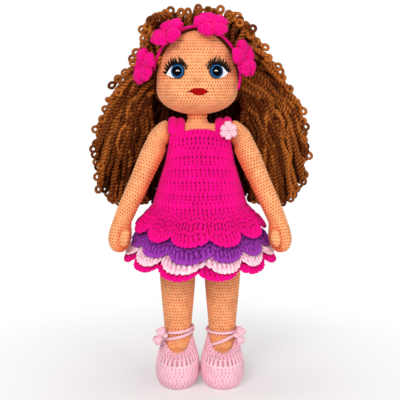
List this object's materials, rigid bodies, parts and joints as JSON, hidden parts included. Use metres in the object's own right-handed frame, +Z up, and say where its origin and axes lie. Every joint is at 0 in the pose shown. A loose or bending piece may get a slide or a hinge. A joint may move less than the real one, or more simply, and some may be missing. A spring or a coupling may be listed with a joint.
{
  "type": "crocheted doll",
  "caption": "Stuffed crocheted yarn doll with looped yarn hair, a flower headband, a dress with ruffle tiers and tied soft shoes; head, arms and legs turn.",
  "frame": {"origin": "on the floor under the middle of the doll, at the middle of the bounding box's bottom face", "axes": "+Z up; the doll faces -Y; its left side is at +X"},
  "size_m": [0.223, 0.126, 0.3806],
  "materials": {
    "skin_yarn": "matt crochet",
    "hot_pink_yarn": "matt crochet",
    "purple_yarn": "matt crochet",
    "pale_pink_yarn": "matt crochet",
    "shoe_yarn": "matt crochet",
    "hair_yarn": "matt twisted cord",
    "stuffing": "loose fibre",
    "lip_yarn": "matt yarn",
    "eye_plastic": "polished",
    "white_felt": "matt felt",
    "lash_thread": "matt thread",
    "washer_plastic": "moulded",
    "peg_wood": "plain turned",
    "insole_board": "plain"
  },
  "bodies": {
    "trunk": {"torso_skin": "skin_yarn", "torso_stuffing": "stuffing", "neck_peg": "peg_wood", "shoulder_thread": "hot_pink_yarn", "dress": "hot_pink_yarn", "ruffle_upper": "hot_pink_yarn", "ruffle_purple": "purple_yarn", "ruffle_pale": "pale_pink_yarn", "ruffle_lower": "hot_pink_yarn", "strap_left": "hot_pink_yarn", "strap_right": "hot_pink_yarn", "brooch_flower": "pale_pink_yarn", "hair_fall_left": "hair_yarn", "hair_fall_right": "hair_yarn", "hair_fall_back": "hair_yarn"},
    "head": {"head_skin": "skin_yarn", "head_stuffing": "stuffing", "wig_cap": "hair_yarn", "hair_crown": "hair_yarn", "headband": "hot_pink_yarn", "nose": "skin_yarn", "lips": "lip_yarn", "flower_left_high": "hot_pink_yarn", "flower_left_low": "hot_pink_yarn", "flower_right_high": "hot_pink_yarn", "flower_right_low": "hot_pink_yarn", "eye_left": "eye_plastic", "eye_washer_left": "washer_plastic", "eye_white_left": "white_felt", "lashes_left": "lash_thread", "brow_left": "lash_thread", "eye_right": "eye_plastic", "eye_washer_right": "washer_plastic", "eye_white_right": "white_felt", "lashes_right": "lash_thread", "brow_right": "lash_thread"},
    "left_arm": {"arm_left": "skin_yarn", "arm_stuffing_left": "stuffing", "thumb_left": "skin_yarn"},
    "left_leg": {"leg_left": "skin_yarn", "leg_stuffing_left": "stuffing", "shoe_left": "shoe_yarn", "insole_left": "insole_board", "ankle_tie_left": "shoe_yarn", "bow_left": "shoe_yarn"},
    "right_arm": {"arm_right": "skin_yarn", "arm_stuffing_right": "stuffing", "thumb_right": "skin_yarn"},
    "right_leg": {"leg_right": "skin_yarn", "leg_stuffing_right": "stuffing", "shoe_right": "shoe_yarn", "insole_right": "insole_board", "ankle_tie_right": "shoe_yarn", "bow_right": "shoe_yarn"}
  },
  "joints": [
    {"name": "neck_turn", "type": "hinge", "parent": "trunk", "child": "head", "pos_m": [-0.0028, 0, 0.279], "axis": [0, 0, 1], "range_deg": [-20, 20]},
    {"name": "shoulder_left", "type": "hinge", "parent": "trunk", "child": "left_arm", "pos_m": [0.0303, -0.0045, 0.256], "axis": [-1, 0, 0], "range_deg": [0, 110]},
    {"name": "shoulder_right", "type": "hinge", "parent": "trunk", "child": "right_arm", "pos_m": [-0.0303, -0.0045, 0.256], "axis": [-1, 0, 0], "range_deg": [0, 110]},
    {"name": "hip_left", "type": "hinge", "parent": "trunk", "child": "left_leg", "pos_m": [0.0228, 0, 0.1522], "axis": [-1, 0, 0], "range_deg": [-25, 35]},
    {"name": "hip_right", "type": "hinge", "parent": "trunk", "child": "right_leg", "pos_m": [-0.0228, 0, 0.1522], "axis": [-1, 0, 0], "range_deg": [-25, 35]}
  ]
}
